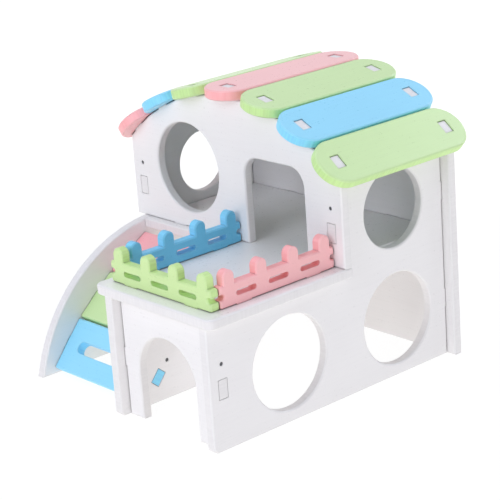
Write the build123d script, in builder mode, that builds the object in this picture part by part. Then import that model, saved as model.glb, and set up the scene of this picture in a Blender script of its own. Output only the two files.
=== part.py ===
from build123d import *

from math import cos, radians, sin, sqrt
import os

# Two-storey wooden hamster house: white boards joined by through tenons and pins, a curved ramp of
# three planks, a fenced terrace and an arched roof of seven loose planks.
# Millimetres. +X is to the right seen from the front, +Y runs to the back, +Z is up.
# The ground is z = 0 and the origin is the middle of the footprint.

# ---- Boards and walls ----------------------------------------------------------------------------
board = 5.5             # thickness of every board, plank and fence
arris = 0.7             # sanded corner of every board edge
house_width = 154.0     # across the outer faces of the two side walls
house_depth = 173.0     # front ends of the lower walls to the rear face of the back wall
edge_lip = 5.5          # gable, back wall and terrace stand out past the side walls
storey_height = 65.5    # ground to the underside of the middle floor
gable_setback = 88.8    # front ends of the lower walls to the front face of the gable
gable_low_reach = 17.8  # middle floor to the middle of the gable tenons
inner_wall_x = -1.0     # left face of the inner wall beside the ramp
foot_radius = 3.0       # rounded front foot of the lower walls
joint_gap = 0.2         # clearance each side of a glued tenon and along a butted edge

# ---- Tenons and pins -----------------------------------------------------------------------------
tenon_height = 10.0     # through tenons of the walls and of the middle floor
low_tenon_z = 32.1      # middle of the lower wall tenons above the ground
high_tenon_z = 92.0     # middle of the upper tenons in the back wall
floor_tenon_x = 40.0    # middles of the floor tenons each side of the centre line
stub_depth = 3.0        # blind tenon of the lower front wall in the floor
pin_dia = 2.0
pin_length = 14.0
pin_sunk = 0.3          # pin head below the face
pin_gap = 0.05          # clearance round a pin
pin_offset = 13.0       # pin beside its tenon, middle to middle
foot_shift = 10.0       # left foot tenon of the gable, beside the middle of the round hole
foot_margin = 8.0       # right foot tenon of the gable, inside the side wall

# ---- Openings in the walls -----------------------------------------------------------------------
big_hole_dia = 50.0
small_hole_dia = 42.5
low_hole_z = 31.4
front_hole_y = 53.0     # lower front hole, behind the front ends of the walls
high_hole_z = 91.8
gable_hole_x = -35.3
gable_hole_z = 105.0
low_door_width = 43.8   # half-round arch
low_door_x = 37.4
low_door_spring = 27.0
high_door_width = 44.4
high_door_x = 33.3
high_door_height = 47.8
high_door_corner = 10.0

# ---- Middle floor and terrace --------------------------------------------------------------------
terrace_lip = 1.5       # terrace in front of the lower walls
ledge = 4.3             # floor in front of the gable above the ramp
terrace_corner = 4.0

# ---- Roof ----------------------------------------------------------------------------------------
roof_radius = 119.2     # arc of the wall tops
roof_centre_z = 29.9
plank_count = 7
plank_angle = 13.1      # between neighbouring planks
plank_width = 27.2
plank_overhang = 9.3    # past the gable and the back wall
slot_width = 8.0        # across the plank
slot_clear = 0.25       # round the roof tenons
slot_sunk = 0.5         # roof tenon below the top of the plank
roof_clear = 0.5        # side wall top below the outermost plank

# ---- Ramp ----------------------------------------------------------------------------------------
cheek_foot = 5.5        # foot of the curved cheek, behind the front ends of the walls
cheek_radius = 93.0
ramp_start = (13.6, 4.0)        # lowest top edge: depth behind the wall fronts, height
ramp_angles = (49.5, 40.0, 31.0)    # lowest plank first
ramp_plank_width = 30.0
ramp_plank_gap = 1.4
ramp_slot_length = 50.0
ramp_slot_width = 6.8
ramp_tenon = 8.0
ramp_pin_offset = 10.2

# ---- Fences --------------------------------------------------------------------------------------
fence_height = 18.6
rail_top = 11.3
picket_width = 7.4
picket_margin = 2.6     # end of the rail to the first picket
picket_count = 4
gap_height = 2.8        # long gaps between the two rails
gap_margin = 4.0        # between two gaps, each side of their picket's middle
gap_z = 5.8
notch_depth = 2.8       # same gap, open at the fence ends
rail_corner = 1.4
fence_tenon = 9.6
fence_tenon_inset = 15.0    # end of the rail to the middle of its tenon
fence_tenon_depth = 5.2
fence_clear = 0.2
fence_front_y = 6.4     # outer face of the front fence behind the wall fronts
fence_front_x = 36.7
fence_right_x = 75.5    # outer face of the right fence
fence_left_x = 0.0      # outer face of the left fence

# ---- Derived positions ---------------------------------------------------------------------------
half_width = house_width / 2
half_inside = half_width - board
lip_x = half_width + edge_lip
floor_top = storey_height + board
back_inner = house_depth - board                # inner face of the back wall
gable_back = gable_setback + board
plank_mid = (gable_setback + house_depth) / 2   # planks reach equally past both end walls
plank_length = house_depth - gable_setback + 2 * plank_overhang
rear_hole_y = plank_mid                         # rear side holes under the middle of the roof
y0 = (terrace_lip - plank_mid - plank_length / 2) / 2   # front ends of the lower walls
outer_angle = radians(plank_angle * (plank_count - 1) / 2)
fence_length = gable_setback - fence_front_y - board - 2 * fence_clear
picket_pitch = (fence_length - 2 * picket_margin - picket_width) / (picket_count - 1)
gap_length = picket_pitch - 2 * gap_margin
fence_tenon_x = fence_length / 2 - fence_tenon_inset     # middles each side of the fence centre
side_top = (roof_centre_z + (roof_radius - half_width * sin(outer_angle)) / cos(outer_angle)
            - roof_clear)
roof_edge_z = roof_centre_z + sqrt(roof_radius ** 2 - lip_x ** 2)
roof_angles = [plank_angle * (i - (plank_count - 1) / 2) for i in range(plank_count)]
gable_tenon_z = floor_top + gable_low_reach
front_wall_y = board                            # front face of the lower front wall
inner_wall_right = inner_wall_x + board
ramp_left = -half_inside
ramp_length = inner_wall_x - ramp_left
gable_feet = (gable_hole_x - foot_shift, half_inside - foot_margin)     # bottom tenons of the gable


def at(x, y, z):
    """Point given by its depth y behind the front ends of the lower walls."""
    return (x, y0 + y, z)


def side_plane(x):
    """Sketch plane standing at x, drawn in depth and height, with its normal along +X."""
    return Plane(origin=at(x, 0, 0), x_dir=(0, 1, 0), z_dir=(1, 0, 0))


def cross_plane(y):
    """Sketch plane standing at depth y, drawn in x and height, with its normal towards the front."""
    return Plane(origin=at(0, y, 0), x_dir=(1, 0, 0), z_dir=(0, -1, 0))


def ramp_places():
    """Middle of each ramp plank (depth, height) and its slope in degrees, lowest first."""
    places = []
    y, z = ramp_start
    for i, slope in enumerate(ramp_angles):
        a = radians(slope)
        mid_y = y + ramp_plank_width / 2 * cos(a) + board / 2 * sin(a)
        mid_z = z + ramp_plank_width / 2 * sin(a) - board / 2 * cos(a)
        places.append((mid_y, mid_z, slope))
        turn = radians((slope + ramp_angles[min(i + 1, len(ramp_angles) - 1)]) / 2)
        y += ramp_plank_width * cos(a) + ramp_plank_gap * cos(turn)
        z += ramp_plank_width * sin(a) + ramp_plank_gap * sin(turn)
    return places


ramp_spots = ramp_places()
ramp_pin_spots = [(y + ramp_pin_offset * cos(radians(s)), z + ramp_pin_offset * sin(radians(s)))
                  for y, z, s in ramp_spots]
roof_tenon = slot_width - 2 * slot_clear
mortise_long = tenon_height + 2 * joint_gap
mortise_thick = board + 2 * joint_gap
pin_hole = pin_dia / 2 + pin_gap

# Pins as (start point on the face, direction into the wood)
wall_pin_spots = (
    [(at(s * (half_width - board / 2), gable_setback, gable_tenon_z + pin_offset), (0, 1, 0))
     for s in (-1, 1)]
    + [(at(s * (half_width - board / 2), house_depth, z + pin_offset), (0, -1, 0))
       for s in (-1, 1) for z in (low_tenon_z, high_tenon_z)]
    + [(at(half_width, front_wall_y + board / 2, low_tenon_z + pin_offset), (-1, 0, 0)),
       (at(inner_wall_x, front_wall_y + board / 2, low_tenon_z + pin_offset), (1, 0, 0))])
floor_pin_spots = [(at(s * (floor_tenon_x + pin_offset), house_depth, storey_height + board / 2),
                    (0, -1, 0)) for s in (-1, 1)]
ramp_pin_list = ([(at(-half_width, y, z), (1, 0, 0)) for y, z in ramp_pin_spots]
                 + [(at(inner_wall_right, y, z), (-1, 0, 0)) for y, z in ramp_pin_spots])


def bore_pins(spots):
    """Cuts the pin holes that meet the board being built."""
    for start, way in spots:
        with Locations(Plane(origin=start, z_dir=way)):
            Cylinder(pin_hole, pin_length + 2 * pin_sunk, mode=Mode.SUBTRACT,
                     align=(Align.CENTER, Align.CENTER, Align.MIN))


def pin_group(spots):
    """Separate round pins, each sunk a little below its face."""
    for start, way in spots:
        with Locations(Plane(origin=start, z_dir=way).offset(pin_sunk)):
            Cylinder(pin_dia / 2, pin_length, align=(Align.CENTER, Align.CENTER, Align.MIN))


def roof_tenons(y):
    """Adds the radial tenons that stand up through the roof planks."""
    for angle in roof_angles:
        a = radians(angle)
        r = roof_radius - board
        place = Location(at(r * sin(a), y + board / 2, roof_centre_z + r * cos(a)), (0, angle, 0))
        with Locations(place):
            Box(roof_tenon, board, 2 * board - slot_sunk,
                align=(Align.CENTER, Align.CENTER, Align.MIN))


# ---- Right side wall: full height behind, lower in front under the terrace -----------------------
with BuildPart() as right_side_wall:
    with BuildSketch(side_plane(half_inside)) as sk:
        with BuildLine():
            Polyline((0, 0), (back_inner, 0), (back_inner, side_top), (gable_back, side_top),
                     (gable_back, storey_height), (0, storey_height), (0, 0))
        make_face()
        fillet(sk.vertices().sort_by_distance((0, 0, 0))[0], foot_radius)
        with Locations((front_hole_y, low_hole_z), (rear_hole_y, low_hole_z)):
            Circle(big_hole_dia / 2, mode=Mode.SUBTRACT)
        with Locations((rear_hole_y, high_hole_z)):
            Circle(small_hole_dia / 2, mode=Mode.SUBTRACT)
    extrude(amount=board)
    chamfer(faces().filter_by(Axis.X).edges(), arris)
    with BuildSketch(side_plane(half_inside)):
        with Locations((gable_setback, gable_tenon_z), (back_inner - board, low_tenon_z),
                       (back_inner - board, high_tenon_z)):
            Rectangle(2 * board, tenon_height, align=(Align.MIN, Align.CENTER))
    extrude(amount=board)
    with BuildSketch(side_plane(half_inside)):
        with Locations((front_wall_y + board / 2, low_tenon_z)):
            Rectangle(mortise_thick, mortise_long)
    extrude(amount=board, mode=Mode.SUBTRACT)
    bore_pins(wall_pin_spots)
right_side_wall.part.label = "right_side_wall"

# ---- Left side wall: upper storey behind, curved cheek of the ramp in front ----------------------
with BuildPart() as left_side_wall:
    with BuildSketch(side_plane(-half_width)):
        with BuildLine():
            Polyline((cheek_foot, 0), (back_inner, 0), (back_inner, side_top),
                     (gable_back, side_top), (gable_back, floor_top), (gable_setback, floor_top))
            RadiusArc((gable_setback, floor_top), (cheek_foot, 0), -cheek_radius)
        make_face()
        with Locations((rear_hole_y, low_hole_z)):
            Circle(big_hole_dia / 2, mode=Mode.SUBTRACT)
        with Locations((rear_hole_y, high_hole_z)):
            Circle(small_hole_dia / 2, mode=Mode.SUBTRACT)
    extrude(amount=board)
    chamfer(faces().filter_by(Axis.X).edges(), arris)
    with BuildSketch(side_plane(-half_width)):
        with Locations((gable_setback, gable_tenon_z), (back_inner - board, low_tenon_z),
                       (back_inner - board, high_tenon_z)):
            Rectangle(2 * board, tenon_height, align=(Align.MIN, Align.CENTER))
    extrude(amount=board)
    with BuildSketch(side_plane(-half_width)):
        for y, z, slope in ramp_spots:
            with Locations(Location((y, z), slope)):
                Rectangle(ramp_tenon + 2 * joint_gap, mortise_thick)
    extrude(amount=board, mode=Mode.SUBTRACT)
    bore_pins(wall_pin_spots + ramp_pin_list)
left_side_wall.part.label = "left_side_wall"

# ---- Inner wall between the ramp and the lower front room ----------------------------------------
with BuildPart() as inner_wall:
    with BuildSketch(side_plane(inner_wall_x)) as sk:
        with Locations((gable_setback / 2, storey_height / 2)):
            Rectangle(gable_setback, storey_height)
        fillet(sk.vertices().sort_by_distance((0, 0, 0))[0], foot_radius)
    extrude(amount=board)
    chamfer(faces().filter_by(Axis.X).edges(), arris)
    with BuildSketch(side_plane(inner_wall_x)):
        with Locations((front_wall_y + board / 2, low_tenon_z)):
            Rectangle(mortise_thick, mortise_long)
        for y, z, slope in ramp_spots:
            with Locations(Location((y, z), slope)):
                Rectangle(ramp_tenon + 2 * joint_gap, mortise_thick)
    extrude(amount=board, mode=Mode.SUBTRACT)
    bore_pins(wall_pin_spots + ramp_pin_list)
inner_wall.part.label = "inner_wall"

# ---- Lower front wall with the half-round door ---------------------------------------------------
with BuildPart() as lower_front_wall:
    front_span = half_inside - inner_wall_right - 2 * joint_gap
    front_mid = (half_inside + inner_wall_right) / 2
    with BuildSketch(cross_plane(front_wall_y + board)):
        with Locations((front_mid, storey_height / 2)):
            Rectangle(front_span, storey_height)
        with Locations((low_door_x, 0)):
            Rectangle(low_door_width, 2 * low_door_spring, mode=Mode.SUBTRACT)
        with Locations((low_door_x, low_door_spring)):
            Circle(low_door_width / 2, mode=Mode.SUBTRACT)
    extrude(amount=board)
    chamfer(faces().filter_by(Axis.Y).edges(), arris)
    with BuildSketch(cross_plane(front_wall_y + board)):
        with Locations((inner_wall_x + board, low_tenon_z), (half_inside, low_tenon_z)):
            Rectangle(2 * board, tenon_height)
        with Locations((low_door_x, storey_height)):
            Rectangle(tenon_height, 2 * (stub_depth - joint_gap))
    extrude(amount=board)
    bore_pins(wall_pin_spots)
lower_front_wall.part.label = "lower_front_wall"

# ---- Middle floor: upper storey floor and terrace in one board -----------------------------------
with BuildPart() as middle_floor:
    with BuildSketch(Plane(origin=at(0, 0, storey_height))) as sk:
        side = half_inside - joint_gap
        terrace_left = inner_wall_x - edge_lip
        with BuildLine():
            Polyline((-side, gable_setback - ledge), (terrace_left, gable_setback - ledge),
                     (terrace_left, -terrace_lip), (lip_x, -terrace_lip),
                     (lip_x, gable_back - joint_gap), (side, gable_back - joint_gap),
                     (side, back_inner), (-side, back_inner), (-side, gable_setback - ledge))
        make_face()
        fillet(sk.vertices().group_by(Axis.Y)[0], terrace_corner)
    extrude(amount=board)
    chamfer(faces().filter_by(Axis.Z).edges(), arris)
    with BuildSketch(Plane(origin=at(0, 0, storey_height))):
        with Locations((-floor_tenon_x, back_inner), (floor_tenon_x, back_inner)):
            Rectangle(tenon_height, 2 * board)
    extrude(amount=board)
    with BuildSketch(Plane(origin=at(0, 0, storey_height))):
        with Locations(*[(x, gable_setback + board / 2) for x in gable_feet]):
            Rectangle(mortise_long, mortise_thick)
        with Locations(*[(fence_front_x + s * fence_tenon_x, fence_front_y + board / 2)
                         for s in (-1, 1)]):
            Rectangle(fence_tenon + 2 * fence_clear, board + 2 * fence_clear)
        for x in (fence_left_x + board / 2, fence_right_x - board / 2):
            with Locations(*[(x, fence_front_y + board + fence_clear + fence_length / 2
                              + s * fence_tenon_x) for s in (-1, 1)]):
                Rectangle(board + 2 * fence_clear, fence_tenon + 2 * fence_clear)
    extrude(amount=board, mode=Mode.SUBTRACT)
    with BuildSketch(Plane(origin=at(0, 0, storey_height))):
        with Locations((low_door_x, front_wall_y + board / 2)):
            Rectangle(mortise_long, mortise_thick)
    extrude(amount=stub_depth, mode=Mode.SUBTRACT)
    bore_pins(floor_pin_spots)
middle_floor.part.label = "middle_floor"

# ---- Gable front wall of the upper storey, with the round hole and the upper door ----------------
with BuildPart() as gable_wall:
    with BuildSketch(cross_plane(gable_back)):
        with BuildLine():
            Polyline((-lip_x, roof_edge_z), (-lip_x, floor_top), (lip_x, floor_top),
                     (lip_x, roof_edge_z))
            ThreePointArc((lip_x, roof_edge_z), (0, roof_centre_z + roof_radius),
                          (-lip_x, roof_edge_z))
        make_face()
        with Locations((gable_hole_x, gable_hole_z)):
            Circle(big_hole_dia / 2, mode=Mode.SUBTRACT)
        with Locations((high_door_x, floor_top + high_door_height / 2)):
            RectangleRounded(high_door_width, high_door_height, high_door_corner,
                             mode=Mode.SUBTRACT)
        with Locations((high_door_x, floor_top)):
            Rectangle(high_door_width, 2 * high_door_corner, mode=Mode.SUBTRACT)
    extrude(amount=board)
    chamfer(faces().filter_by(Axis.Y).edges(), arris)
    roof_tenons(gable_setback)
    with BuildSketch(cross_plane(gable_back)):
        with Locations(*[(x, floor_top) for x in gable_feet]):
            Rectangle(tenon_height, 2 * board)
    extrude(amount=board)
    with BuildSketch(cross_plane(gable_back)):
        with Locations(*[(s * (half_width - board / 2), gable_tenon_z) for s in (-1, 1)]):
            Rectangle(mortise_thick, mortise_long)
    extrude(amount=board, mode=Mode.SUBTRACT)
    bore_pins(wall_pin_spots)
gable_wall.part.label = "gable_wall"

# ---- Back wall, plain, full height ---------------------------------------------------------------
with BuildPart() as back_wall:
    with BuildSketch(cross_plane(house_depth)):
        with BuildLine():
            Polyline((-lip_x, roof_edge_z), (-lip_x, 0), (lip_x, 0), (lip_x, roof_edge_z))
            ThreePointArc((lip_x, roof_edge_z), (0, roof_centre_z + roof_radius),
                          (-lip_x, roof_edge_z))
        make_face()
    extrude(amount=board)
    chamfer(faces().filter_by(Axis.Y).edges(), arris)
    roof_tenons(back_inner)
    with BuildSketch(cross_plane(house_depth)):
        with Locations(*[(s * (half_width - board / 2), z) for s in (-1, 1)
                         for z in (low_tenon_z, high_tenon_z)]):
            Rectangle(mortise_thick, mortise_long)
        with Locations(*[(s * floor_tenon_x, storey_height + board / 2) for s in (-1, 1)]):
            Rectangle(mortise_long, mortise_thick)
    extrude(amount=board, mode=Mode.SUBTRACT)
    bore_pins(wall_pin_spots + floor_pin_spots)
back_wall.part.label = "back_wall"

# ---- Ramp planks: three alike, at three slopes ---------------------------------------------------
with BuildPart() as ramp_plank:
    span = ramp_length - 2 * joint_gap
    Box(span, ramp_plank_width, board)
    chamfer(edges().filter_by(Axis.X), arris)
    Box(ramp_length + 2 * board, ramp_tenon, board)
    with BuildSketch(Plane.XY.offset(-board / 2)):
        SlotOverall(ramp_slot_length, ramp_slot_width)
    extrude(amount=board, mode=Mode.SUBTRACT)
    for s in (-1, 1):
        with BuildSketch(Plane(origin=(s * (ramp_length / 2 + board), ramp_pin_offset, 0),
                               z_dir=(-s, 0, 0))):
            Circle(pin_hole)
        extrude(amount=pin_length + 2 * pin_sunk, mode=Mode.SUBTRACT)

ramp_nodes = []
for name, (y, z, slope) in zip(("lower", "middle", "upper"), ramp_spots):
    middle = at((ramp_left + inner_wall_x) / 2, y, z)
    plank = ramp_plank.part.moved(Location(middle, (slope, 0, 0)))
    plank.label = f"ramp_plank_{name}"
    ramp_nodes.append(plank)

# ---- Roof planks: seven alike, each dropped over two roof tenons ---------------------------------
with BuildPart() as roof_plank:
    with BuildSketch():
        SlotOverall(plank_length, plank_width, rotation=90)
    extrude(amount=board)
    chamfer(faces().filter_by(Axis.Z).edges(), arris)
    with BuildSketch():
        with Locations(*[(0, s * (house_depth - board - gable_setback) / 2) for s in (-1, 1)]):
            Rectangle(slot_width, board + 2 * slot_clear)
    extrude(amount=board, mode=Mode.SUBTRACT)

roof_nodes = []
for i, angle in enumerate(roof_angles):
    a = radians(angle)
    place = Location(at(roof_radius * sin(a), plank_mid, roof_centre_z + roof_radius * cos(a)),
                     (0, angle, 0))
    plank = roof_plank.part.moved(place)
    plank.label = f"roof_plank_{i + 1}"
    roof_nodes.append(plank)

# ---- Terrace fences: three alike, standing on two tenons each ------------------------------------
with BuildPart() as fence:
    picket_spots = [(i - (picket_count - 1) / 2) * picket_pitch for i in range(picket_count)]
    with BuildSketch(Plane.XZ):
        with Locations((0, rail_top / 2)):
            RectangleRounded(fence_length, rail_top, rail_corner)
        with Locations(*[(x, fence_height - picket_width / 2) for x in picket_spots]):
            Circle(picket_width / 2)
        with Locations(*[(x, rail_top / 2) for x in picket_spots]):
            Rectangle(picket_width, fence_height - picket_width / 2 - rail_top / 2,
                      align=(Align.CENTER, Align.MIN))
        with Locations(*[(x, gap_z) for x in (-picket_pitch, 0, picket_pitch)]):
            SlotOverall(gap_length, gap_height, mode=Mode.SUBTRACT)
        with Locations(*[(s * (fence_length / 2 - notch_depth + gap_height), gap_z)
                         for s in (-1, 1)]):
            SlotOverall(2 * gap_height, gap_height, mode=Mode.SUBTRACT)
    extrude(amount=board / 2, both=True)
    chamfer([e for f in faces().filter_by(Axis.Y) for e in f.outer_wire().edges()], arris)
    with BuildSketch(Plane.XZ):
        with Locations(*[(s * fence_tenon_x, 0) for s in (-1, 1)]):
            Rectangle(fence_tenon, fence_tenon_depth, align=(Align.CENTER, Align.MAX))
        with Locations(*[(s * fence_tenon_x, 0) for s in (-1, 1)]):
            Rectangle(fence_tenon, 2 * arris)
    extrude(amount=board / 2, both=True)

side_fence_y = fence_front_y + board + fence_clear + fence_length / 2
fence_nodes = []
for name, place in (
        ("front", Location(at(fence_front_x, fence_front_y + board / 2, floor_top))),
        ("right", Location(at(fence_right_x - board / 2, side_fence_y, floor_top), (0, 0, 90))),
        ("left", Location(at(fence_left_x + board / 2, side_fence_y, floor_top), (0, 0, 90)))):
    rail = fence.part.moved(place)
    rail.label = f"fence_{name}"
    fence_nodes.append(rail)

# ---- Fixing pins, one group for each kind of joint -----------------------------------------------
with BuildPart() as wall_pins:
    pin_group(wall_pin_spots)
wall_pins.part.label = "wall_pins"

with BuildPart() as floor_pins:
    pin_group(floor_pin_spots)
floor_pins.part.label = "floor_pins"

with BuildPart() as ramp_pins:
    pin_group(ramp_pin_list)
ramp_pins.part.label = "ramp_pins"

# ---- One file for each node ----------------------------------------------------------------------
nodes = [b.part for b in (right_side_wall, left_side_wall, inner_wall, lower_front_wall,
                          middle_floor, gable_wall, back_wall, wall_pins, floor_pins, ramp_pins)]
nodes += ramp_nodes + roof_nodes + fence_nodes
os.makedirs("parts", exist_ok=True)
for node in nodes:
    export_step(node, f"parts/{node.label}.step")
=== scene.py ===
from math import cos, pi, radians, sin

import bpy
import numpy as np
from mathutils import Matrix, Vector


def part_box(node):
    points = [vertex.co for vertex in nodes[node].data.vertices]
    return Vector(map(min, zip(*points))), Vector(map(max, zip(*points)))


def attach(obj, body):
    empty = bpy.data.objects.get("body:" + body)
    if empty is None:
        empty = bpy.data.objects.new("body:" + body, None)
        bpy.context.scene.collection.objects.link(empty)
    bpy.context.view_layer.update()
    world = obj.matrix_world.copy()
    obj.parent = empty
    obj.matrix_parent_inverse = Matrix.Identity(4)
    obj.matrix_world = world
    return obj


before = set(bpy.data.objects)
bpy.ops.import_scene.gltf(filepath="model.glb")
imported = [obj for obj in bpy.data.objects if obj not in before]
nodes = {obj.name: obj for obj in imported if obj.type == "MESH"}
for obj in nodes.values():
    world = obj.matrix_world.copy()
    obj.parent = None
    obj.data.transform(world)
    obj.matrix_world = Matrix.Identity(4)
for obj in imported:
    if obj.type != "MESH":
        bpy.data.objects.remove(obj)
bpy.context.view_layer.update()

# ---- Camera --------------------------------------------------------------------------------------
camera_place = (0.70003, -0.59876, 0.37096)
camera_azimuth, camera_elevation, camera_roll = radians(49.08), radians(18.42), radians(4.20)
sensor_width, lens_length = 36, 130.86      # mm
nearest, farthest = 0.02, 20

back = Vector((sin(camera_azimuth) * cos(camera_elevation),
               -cos(camera_azimuth) * cos(camera_elevation), sin(camera_elevation)))
level = Vector((cos(camera_azimuth), sin(camera_azimuth), 0))
upright = back.cross(level)
across = cos(camera_roll) * level - sin(camera_roll) * upright
up = sin(camera_roll) * level + cos(camera_roll) * upright
view_turn = Matrix((across, up, back)).transposed().to_4x4()

camera = bpy.data.objects.new("camera", bpy.data.cameras.new("camera"))
camera.data.sensor_width = sensor_width
camera.data.sensor_fit = "HORIZONTAL"
camera.data.lens = lens_length
camera.data.clip_start, camera.data.clip_end = nearest, farthest
camera.matrix_world = Matrix.Translation(camera_place) @ view_turn
bpy.context.scene.collection.objects.link(camera)
bpy.context.scene.camera = camera


# ---- Node helpers --------------------------------------------------------------------------------
class Tree:
    """A material's or the world's node tree, filled by short calls."""

    def __init__(self, holder):
        holder.use_nodes = True
        self.tree = holder.node_tree
        self.tree.nodes.clear()

    def add(self, kind, inputs=None, **settings):
        """Adds one node, sets it, and fills each named input with a value or another node's output."""
        node = self.tree.nodes.new(kind)
        for key, value in settings.items():
            setattr(node, key, value)
        for key, value in (inputs or {}).items():
            self.put(node.inputs[key], value)
        return node

    def put(self, socket, value):
        if isinstance(value, bpy.types.NodeSocket):
            self.tree.links.new(value, socket)
        else:
            socket.default_value = value

    def sum(self, *terms):
        """Each term is (value, factor), either a number or a socket; the result is the sum of their
        products."""
        total = None
        for value, factor in terms:
            node = self.add("ShaderNodeMath", {0: value, 1: factor, 2: 0.0 if total is None else total},
                            operation="MULTIPLY_ADD")
            total = node.outputs[0]
        return total


# ---- Painted board -------------------------------------------------------------------------------
fibre_size = (0.022, 0.0009, 0.0009)    # length, width and depth of the raised fibres
stipple_size = 0.0013                   # roller texture of the paint
cloud_size = 0.03                       # slow drift of the coat's thickness
arris_radius = 0.0008                   # soft corner of the coat over a sanded arris
ripple_size = (0.0010, 0.0010, 0.02)    # cutter marks on the edges, running across the thickness
coat_relief = 0.00009                   # height of the relief in the coat
crevice_shade_reach = 0.0012                  # how far from a neighbouring face the painted crevice shade reaches
fibre_detail, fibre_roughness = 3.0, 0.6
fine_detail, ripple_detail = 2.0, 1.5
on_face, on_edge = 0.9, 0.3             # how squarely a spot looks along the board's face normal
arris_starts, arris_full = 0.995, 0.86  # how far the softened normal has turned from the true one
shade_open, shade_shut = 0.75, 0.15     # how open a spot is where the painted crevice shade starts and ends
ripple_low, ripple_high = 0.35, 0.65    # stretch of the noise that the cutter marks take
cloud_shade, fibre_shade, cut_shade, base_shade = 0.05, 0.05, 0.10, 0.95
stipple_rough, edge_rough, fibre_rough, base_rough = 0.10, 0.12, 0.05, 0.22
stipple_relief, fibre_relief, cut_relief, relief_strength = 0.35, 0.5, 0.5, 0.5
pale_depth = 0.75                       # how deep the paint's colour stays in the paler arris colour, thin coat and painted highlight
worn_and_highlight_share = 0.5                        # the most of that paler colour, partly wear and partly painted highlight, that shows on an arris
corner_samples = 6
paint_ior = 1.5


def painted_board(name, finish, turn, normal, seed):
    """Satin paint on a smooth board: slow clouding, fine fibres along the board, a roller stipple,
    another shade and cutter marks on the cut edges, a paler coat along the arrises, partly wear and
    partly painted highlight, and painted shade, a darker line where another board comes close.
    turn brings the board's own frame (fibres along X, face along Z) into place."""
    material = bpy.data.materials.new(name)
    t = Tree(material)
    place = t.add("ShaderNodeTexCoord")
    euler = turn.to_euler("XYZ")
    fibre_at = t.add("ShaderNodeMapping", {"Vector": place.outputs["Object"], "Rotation": euler,
                                           "Scale": fibre_size, "Location": (seed, 0, 0)},
                     vector_type="TEXTURE")
    fibre = t.add("ShaderNodeTexNoise", {"Vector": fibre_at.outputs[0], "Scale": 1.0,
                                         "Detail": fibre_detail, "Roughness": fibre_roughness})
    stipple = t.add("ShaderNodeTexNoise", {"Vector": place.outputs["Object"],
                                           "Scale": 1 / stipple_size, "Detail": fine_detail})
    cloud = t.add("ShaderNodeTexNoise", {"Vector": place.outputs["Object"],
                                         "Scale": 1 / cloud_size, "Detail": fine_detail})
    across_face = t.add("ShaderNodeVectorMath", {0: place.outputs["Normal"], 1: normal},
                        operation="DOT_PRODUCT")
    flat = t.add("ShaderNodeMath", {0: across_face.outputs["Value"]}, operation="ABSOLUTE")
    edge = t.add("ShaderNodeMapRange", {"Value": flat.outputs[0], "From Min": on_face,
                                        "From Max": on_edge})
    soft = t.add("ShaderNodeBevel", {"Radius": arris_radius}, samples=corner_samples)
    true = t.add("ShaderNodeNewGeometry")
    bent = t.add("ShaderNodeVectorMath", {0: soft.outputs[0], 1: true.outputs["Normal"]},
                 operation="DOT_PRODUCT")
    arris = t.add("ShaderNodeMapRange", {"Value": bent.outputs["Value"], "From Min": arris_starts,
                                         "From Max": arris_full})
    # painted shade: ambient occlusion darkens the colour close to other faces, in joints and between
    # boards
    near = t.add("ShaderNodeAmbientOcclusion", {"Distance": crevice_shade_reach}, samples=corner_samples)
    crevice_shade = t.add("ShaderNodeMapRange", {"Value": near.outputs["AO"], "From Min": shade_shut,
                                           "From Max": shade_open, "To Min": -finish["crevice_shade"],
                                           "To Max": 0.0})
    ripple_at = t.add("ShaderNodeMapping", {"Vector": place.outputs["Object"], "Rotation": euler,
                                            "Scale": ripple_size}, vector_type="TEXTURE")
    ripple = t.add("ShaderNodeTexNoise", {"Vector": ripple_at.outputs[0], "Scale": 1.0,
                                          "Detail": ripple_detail})
    marks = t.add("ShaderNodeMapRange", {"Value": ripple.outputs[0], "From Min": ripple_low,
                                         "From Max": ripple_high, "To Max": finish["marks"]})
    cut = t.add("ShaderNodeMath", {0: marks.outputs[0], 1: edge.outputs[0]}, operation="MULTIPLY")
    shade = t.sum((cloud.outputs[0], cloud_shade), (fibre.outputs[0], fibre_shade),
                  (cut.outputs[0], cut_shade), (crevice_shade.outputs[0], 1.0), (1.0, base_shade))
    ground = t.add("ShaderNodeMix", {"Factor": edge.outputs[0]}, data_type="RGBA")
    t.put(ground.inputs[6], (*finish["face"], 1))
    t.put(ground.inputs[7], (*finish["edge"], 1))
    tint = t.add("ShaderNodeVectorMath", {0: ground.outputs[2], "Scale": shade}, operation="SCALE")
    # painted highlight and wear: every arris gets a paler colour, whatever light falls on it
    pale = tuple(1 - pale_depth * (1 - c) for c in finish["face"])
    worn_and_highlight = t.add("ShaderNodeMath", {0: arris.outputs[0], 1: worn_and_highlight_share}, operation="MULTIPLY")
    coat = t.add("ShaderNodeMix", {"Factor": worn_and_highlight.outputs[0]}, data_type="RGBA")
    t.put(coat.inputs[6], tint.outputs[0])
    t.put(coat.inputs[7], (*pale, 1))
    rough = t.sum((stipple.outputs[0], stipple_rough), (edge.outputs[0], edge_rough),
                  (fibre.outputs[0], fibre_rough), (1.0, base_rough))
    relief = t.sum((stipple.outputs[0], stipple_relief), (fibre.outputs[0], fibre_relief),
                   (cut.outputs[0], cut_relief))
    bump = t.add("ShaderNodeBump", {"Height": relief, "Distance": coat_relief,
                                    "Strength": relief_strength, "Normal": soft.outputs[0]})
    coating = t.add("ShaderNodeBsdfPrincipled", {"Base Color": coat.outputs[2], "Roughness": rough,
                                                 "Normal": bump.outputs[0], "IOR": paint_ior})
    t.add("ShaderNodeOutputMaterial", {"Surface": coating.outputs[0]})
    return material


wire_dark, wire_light = (0.05, 0.05, 0.055, 1), (0.20, 0.20, 0.21, 1)
scratch_scale, scratch_detail, patch_scale = 2500.0, 3.0, 700.0
scratch_rough, wire_rough = 0.3, 0.35
scratch_relief, scratch_strength = 0.00003, 0.6
wire_metal = 0.6


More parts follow.
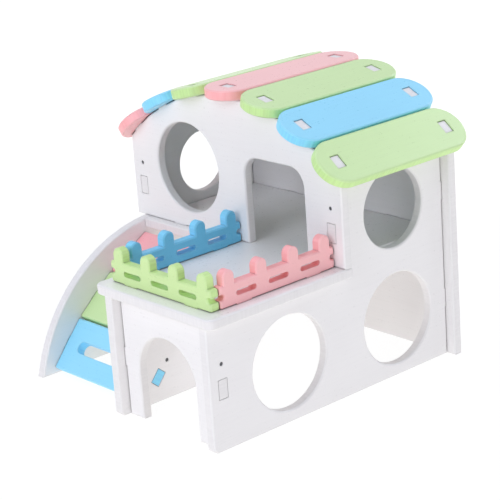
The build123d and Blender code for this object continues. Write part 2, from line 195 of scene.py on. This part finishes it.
def dull_wire(name):
    """Grey pin wire: cut ends with fine turning scratches and a few darker patches."""
    material = bpy.data.materials.new(name)
    t = Tree(material)
    place = t.add("ShaderNodeTexCoord")
    scratch = t.add("ShaderNodeTexNoise", {"Vector": place.outputs["Object"],
                                           "Scale": scratch_scale, "Detail": scratch_detail})
    patch = t.add("ShaderNodeTexNoise", {"Vector": place.outputs["Object"], "Scale": patch_scale})
    colour = t.add("ShaderNodeMix", {"Factor": patch.outputs[0]}, data_type="RGBA")
    t.put(colour.inputs[6], wire_dark)
    t.put(colour.inputs[7], wire_light)
    rough = t.sum((scratch.outputs[0], scratch_rough), (1.0, wire_rough))
    bump = t.add("ShaderNodeBump", {"Height": scratch.outputs[0], "Distance": scratch_relief,
                                    "Strength": scratch_strength})
    metal = t.add("ShaderNodeBsdfPrincipled", {"Base Color": colour.outputs[2], "Roughness": rough,
                                               "Metallic": wire_metal, "Normal": bump.outputs[0]})
    t.add("ShaderNodeOutputMaterial", {"Surface": metal.outputs[0]})
    return material


# ---- Finishes of the boards ----------------------------------------------------------------------
def paint(face, edge, crevice_shade=0.8, marks=1.0):
    """A paint: its colour on the faces and on the cut edges, how much painted shade darkens it deep
    in a joint, and the strength of the cutter marks that show through."""
    return {"face": face, "edge": edge, "crevice_shade": crevice_shade, "marks": marks}


paints = {
    "white": paint((0.900, 0.882, 0.880), (0.835, 0.815, 0.812), crevice_shade=0.28, marks=0.35),
    "green": paint((0.63, 0.84, 0.42), (0.57, 0.82, 0.33)),
    "leaf_green": paint((0.65, 0.86, 0.39), (0.59, 0.82, 0.33)),
    "pink": paint((1.0, 0.535, 0.54), (1.0, 0.45, 0.46)),
    # painted shade: a darker pink for the upper ramp plank, for the lesser light that reaches it
    "shade_darkened_pink": paint((1.0, 0.47, 0.50), (1.0, 0.43, 0.45)),
    "blue": paint((0.32, 0.76, 1.0), (0.25, 0.71, 0.98)),
    # painted shade: fence_left's faces are darker than the roof's blue and than its own edges, for the
    # shade on its inner face
    "shade_darkened_blue": paint((0.15, 0.56, 0.84), (0.22, 0.64, 0.92)),
}
quarter = pi / 2
lying = Matrix.Rotation(quarter, 3, "Z")                                # face up, fibres front to back
facing_front = Matrix.Rotation(quarter, 3, "X")                         # face to the front
facing_side = Matrix.Rotation(quarter, 3, "Z") @ facing_front           # face to the side
plank_angle = radians(13.1)                                             # from one roof plank to the next
middle_plank = 3
seed_step = 0.37                                                        # shifts each board's grain
ramp_slopes = {"lower": radians(49.5), "middle": radians(40.0), "upper": radians(31.0)}
boards = {
    "right_side_wall": ("white", facing_side), "left_side_wall": ("white", facing_side),
    "inner_wall": ("white", facing_side), "lower_front_wall": ("white", facing_front),
    "middle_floor": ("white", lying), "gable_wall": ("white", facing_front),
    "back_wall": ("white", facing_front), "fence_front": ("leaf_green", facing_front),
    "fence_right": ("pink", facing_side), "fence_left": ("shade_darkened_blue", facing_side),
}
for i, shade in enumerate(("pink", "blue", "green", "pink", "green", "blue", "green")):
    tilt = Matrix.Rotation((i - middle_plank) * plank_angle, 3, "Y")
    boards[f"roof_plank_{i + 1}"] = (shade, tilt @ lying)
for (step, slope), shade in zip(ramp_slopes.items(), ("blue", "green", "shade_darkened_pink")):
    boards[f"ramp_plank_{step}"] = (shade, Matrix.Rotation(slope, 3, "X"))

for i, (node, (shade, turn)) in enumerate(boards.items()):
    face = tuple(turn @ Vector((0, 0, 1)))
    material = painted_board(f"{shade}_paint_{node}", paints[shade], turn, face, i * seed_step)
    nodes[node].data.materials.clear()
    nodes[node].data.materials.append(material)
wire = dull_wire("pin_wire")
for node in ("wall_pins", "floor_pins", "ramp_pins"):
    nodes[node].data.materials.clear()
    nodes[node].data.materials.append(wire)


# ---- Left wall round its upper hole --------------------------------------------------------------
hole_y, wide_hole_z, wide_hole_radius = 0.0405, 0.0918, 0.02125     # the hole of the CAD wall
hole_z, hole_radius = 0.0933, 0.0175                                # the real, narrower one
board_arris = 0.0007                                                # its sanded corner
cover = 0.00001             # how far the ring stands over the wall's faces, then sinks into them
flat_lap, sunk_lap = 0.0007, 0.0027     # past the wide hole's corner, level and then sunk
hole_steps = 96


def narrowing_ring(name, wall):
    """Board that narrows a wall's round hole, as one closed ring. Its section is a list of circles
    across X, each with a centre height, a radius and an x, and point (s, a) lies on circle s at the
    angle a. The section goes from the bore over the sanded corner, level along the wall's face, a
    little down into the wall, and back through its thickness to the other face."""
    outside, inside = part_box(wall)[0].x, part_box(wall)[1].x
    wide = wide_hole_radius + board_arris
    half = np.array([(hole_z, hole_radius, board_arris), (hole_z, hole_radius + board_arris, -cover),
                     (wide_hole_z, wide + flat_lap, -cover), (wide_hole_z, wide + sunk_lap, cover)])
    section = np.vstack([half + (0, 0, outside), half[::-1] * (1, 1, -1) + (0, 0, inside)])
    angle = np.linspace(0, 2 * pi, hole_steps, endpoint=False)
    height, radius, x = (section[:, k, None] for k in range(3))
    points = np.stack([x + 0 * angle, hole_y + radius * np.cos(angle),
                       height + radius * np.sin(angle)], axis=-1)
    s, a = np.indices(points.shape[:2])
    s_next, a_next = (s + 1) % len(section), (a + 1) % hole_steps
    quads = np.stack([s * hole_steps + a, s * hole_steps + a_next, s_next * hole_steps + a_next,
                      s_next * hole_steps + a], axis=-1)
    mesh = bpy.data.meshes.new(name)
    mesh.from_pydata(points.reshape(-1, 3).tolist(), [], quads.reshape(-1, 4).tolist())
    mesh.materials.append(nodes[wall].data.materials[0])
    ring = bpy.data.objects.new(name, mesh)
    bpy.context.scene.collection.objects.link(ring)
    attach(ring, "house")
    return ring


hole_ring = narrowing_ring("left_upper_hole_ring", "left_side_wall")


# ---- Smooth shading of the curved faces ----------------------------------------------------------
join_reach = 1e-6
sharp_angle = radians(30)


def smooth_curves(limit):
    """A node group that joins a mesh's loose faces and shades it smooth, except along edges where
    its faces meet at more than the limit."""
    tree = bpy.data.node_groups.new("smooth_curves", "GeometryNodeTree")
    for way in ("INPUT", "OUTPUT"):
        tree.interface.new_socket("Geometry", in_out=way, socket_type="NodeSocketGeometry")
    new = tree.nodes.new
    start, end = new("NodeGroupInput"), new("NodeGroupOutput")
    join, smooth, keep = (new("GeometryNodeMergeByDistance"), new("GeometryNodeSetShadeSmooth"),
                          new("GeometryNodeSetShadeSmooth"))
    angle, over = new("GeometryNodeInputMeshEdgeAngle"), new("FunctionNodeCompare")
    join.inputs["Distance"].default_value = join_reach
    over.operation = "GREATER_THAN"
    over.inputs["B"].default_value = limit
    keep.domain = "EDGE"
    keep.inputs["Shade Smooth"].default_value = False
    for a, b in ((start.outputs[0], join.inputs[0]), (join.outputs[0], smooth.inputs[0]),
                 (smooth.outputs[0], keep.inputs[0]), (angle.outputs[0], over.inputs["A"]),
                 (over.outputs[0], keep.inputs["Selection"]), (keep.outputs[0], end.inputs[0])):
        tree.links.new(a, b)
    return tree


smoothing = smooth_curves(sharp_angle)
for piece in (*nodes.values(), hole_ring):
    piece.modifiers.new("smooth_curves", "NODES").node_group = smoothing


# ---- Floor and light -----------------------------------------------------------------------------
floor_half, floor_drop = 3.0, 0.00005
floor_tone, floor_glow = 0.14, 0.97     # how pale the sheet is, and how strongly it glows
glow_starts, glow_full = 0.15, 0.6      # distances over which the seen glow rises to plain white
painted_shade_near_feet = 0.06                      # how much less of it is seen near the feet: painted shade round the object, which lets its real shadow show
glow_colour, sky_colour, plain_white = (1, 0.985, 0.975, 1), (0.92, 0.94, 1, 1), (1, 1, 1, 1)
sky_strength = 0.23
cool = (0.865, 0.895, 1.0)
lamp_size, aim_height = 0.9, 0.07
lamps = {"front_box": ((0.15, -1.25, 0.7), 9.2), "side_box": ((1.35, 0.1, 0.3), 4.3),
         "top_box": ((-0.3, 0.0, 1.4), 7.1), "back_box": ((0.3, 1.3, 0.8), 7.2)}


def seen_rays(t):
    """1 for camera, glossy and transmission rays, which see the plain white ground."""
    path = t.add("ShaderNodeLightPath")
    seen = path.outputs["Is Camera Ray"]
    for ray in ("Is Glossy Ray", "Is Transmission Ray"):
        seen = t.add("ShaderNodeMath", {0: seen, 1: path.outputs[ray]}, operation="MAXIMUM").outputs[0]
    return seen


def studio_floor():
    """A square sheet just under the object's feet, a pale tone over an even glow, as on a lit table.
    What is seen of the glow is painted darker near the object, a painted shade round its feet, and
    rises to plain white away from it."""
    corner = np.array([(-1, -1), (1, -1), (1, 1), (-1, 1)], float) * floor_half
    points = np.column_stack([corner, np.full(4, -floor_drop)])
    mesh = bpy.data.meshes.new("studio_floor")
    mesh.from_pydata(points.tolist(), [], [(0, 1, 2, 3)])
    sheet = bpy.data.objects.new("studio_floor", mesh)
    bpy.context.scene.collection.objects.link(sheet)
    material = bpy.data.materials.new("studio_floor")
    t = Tree(material)
    place = t.add("ShaderNodeTexCoord")
    reach = t.add("ShaderNodeVectorMath", {0: place.outputs["Object"]}, operation="LENGTH")
    # painted shade: the glow seen near the object is darker, rising to plain white away from it
    rise = t.add("ShaderNodeMapRange", {"Value": reach.outputs["Value"], "From Min": glow_starts,
                                        "From Max": glow_full, "To Min": floor_glow - painted_shade_near_feet,
                                        "To Max": 1.0},
                 interpolation_type="SMOOTHSTEP")
    paper = t.add("ShaderNodeBsdfDiffuse", {"Color": (floor_tone, floor_tone, floor_tone, 1)})
    lit = t.add("ShaderNodeEmission", {"Color": glow_colour, "Strength": floor_glow})
    seen = t.add("ShaderNodeEmission", {"Color": plain_white, "Strength": rise.outputs[0]})
    table = t.add("ShaderNodeMixShader", {"Fac": seen_rays(t), 1: lit.outputs[0], 2: seen.outputs[0]})
    both = t.add("ShaderNodeAddShader", {0: paper.outputs[0], 1: table.outputs[0]})
    t.add("ShaderNodeOutputMaterial", {"Surface": both.outputs[0]})
    mesh.materials.append(material)


def studio_world():
    """Soft light from all round; camera, glossy and transmission rays see plain white."""
    world = bpy.data.worlds.new("studio")
    world.cycles.sampling_method = "NONE"
    bpy.context.scene.world = world
    t = Tree(world)
    soft = t.add("ShaderNodeBackground", {"Color": sky_colour, "Strength": sky_strength})
    white = t.add("ShaderNodeBackground", {"Color": plain_white, "Strength": 1.0})
    mix = t.add("ShaderNodeMixShader", {"Fac": seen_rays(t), 1: soft.outputs[0], 2: white.outputs[0]})
    t.add("ShaderNodeOutputWorld", {"Surface": mix.outputs[0]})


def soft_box(name, place, power):
    """A square lamp at a place, turned to the object's middle."""
    lamp = bpy.data.lights.new(name, "AREA")
    lamp.shape, lamp.size, lamp.energy, lamp.color = "SQUARE", lamp_size, power, cool
    holder = bpy.data.objects.new(name, lamp)
    bpy.context.scene.collection.objects.link(holder)
    aim = Vector((0, 0, aim_height)) - Vector(place)
    holder.matrix_world = Matrix.Translation(place) @ aim.to_track_quat("-Z", "Y").to_matrix().to_4x4()


studio_floor()
studio_world()
for name, (place, power) in lamps.items():
    soft_box(name, place, power)

bpy.context.scene.view_settings.view_transform = "Standard"
